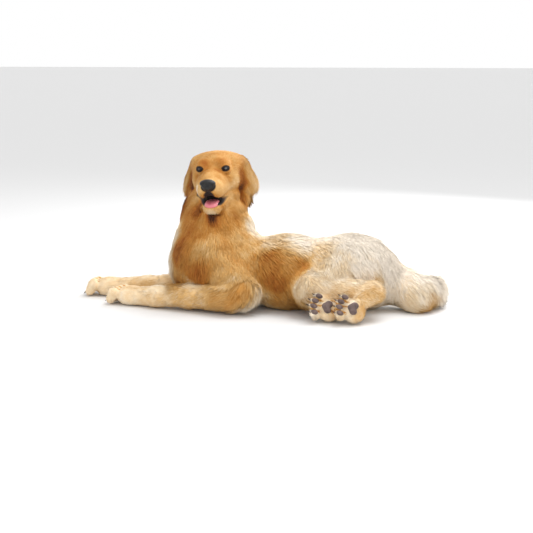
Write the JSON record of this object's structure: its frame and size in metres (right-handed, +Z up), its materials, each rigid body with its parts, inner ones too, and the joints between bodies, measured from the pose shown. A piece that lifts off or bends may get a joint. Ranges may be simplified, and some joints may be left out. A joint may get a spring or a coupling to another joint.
{
  "type": "golden retriever, lying",
  "caption": "Life-size golden retriever lying down, head up and turned to its left side, forelegs stretched out in front, hind feet to one side, tail on the floor.",
  "frame": {"origin": "on the floor, under the middle of the bounding box", "axes": "+Z up, +X from the forepaws to the tail, -Y on the dog's left side, to which its face and hind feet are turned"},
  "size_m": [0.9324, 0.3392, 0.3877],
  "materials": {
    "gold_coat": "long golden fur",
    "cream_coat": "long cream fur",
    "pale_coat": "short pale fur",
    "ear_coat": "soft amber fur",
    "eye": "wet, glossy",
    "nose": "moist, pebbled",
    "tongue": "moist",
    "pad": "dry, rough",
    "claw": "horn"
  },
  "bodies": {
    "root": {"left_fore_claw_1": "claw", "left_fore_claw_2": "claw", "left_fore_claw_3": "claw", "left_fore_claw_4": "claw", "right_fore_claw_1": "claw", "right_fore_claw_2": "claw", "right_fore_claw_3": "claw", "right_fore_claw_4": "claw", "left_hind_claw_1": "claw", "left_hind_claw_2": "claw", "left_hind_claw_3": "claw", "left_hind_claw_4": "claw", "left_hind_pad_1": "pad", "left_hind_pad_2": "pad", "left_hind_pad_3": "pad", "left_hind_pad_4": "pad", "left_hind_pad_5": "pad", "right_hind_claw_1": "claw", "right_hind_claw_2": "claw", "right_hind_claw_3": "claw", "right_hind_claw_4": "claw", "right_hind_pad_1": "pad", "right_hind_pad_2": "pad", "right_hind_pad_3": "pad", "right_hind_pad_4": "pad", "right_hind_pad_5": "pad", "right_eye": "eye", "left_eye": "eye", "nose": "nose", "tongue": "tongue", "lower_jaw": "gold_coat", "right_ear": "ear_coat", "left_ear": "ear_coat", "head": "gold_coat", "left_fore_paw": "pale_coat", "left_forearm": "gold_coat", "left_upper_arm": "gold_coat", "right_fore_paw": "pale_coat", "right_forearm": "gold_coat", "right_upper_arm": "gold_coat", "left_hind_foot": "pale_coat", "right_hind_foot": "pale_coat", "left_shank": "cream_coat", "right_shank": "cream_coat", "left_thigh": "cream_coat", "tail": "cream_coat", "neck": "gold_coat", "rump": "gold_coat", "loin": "gold_coat", "chest": "gold_coat"}
  },
  "joints": []
}
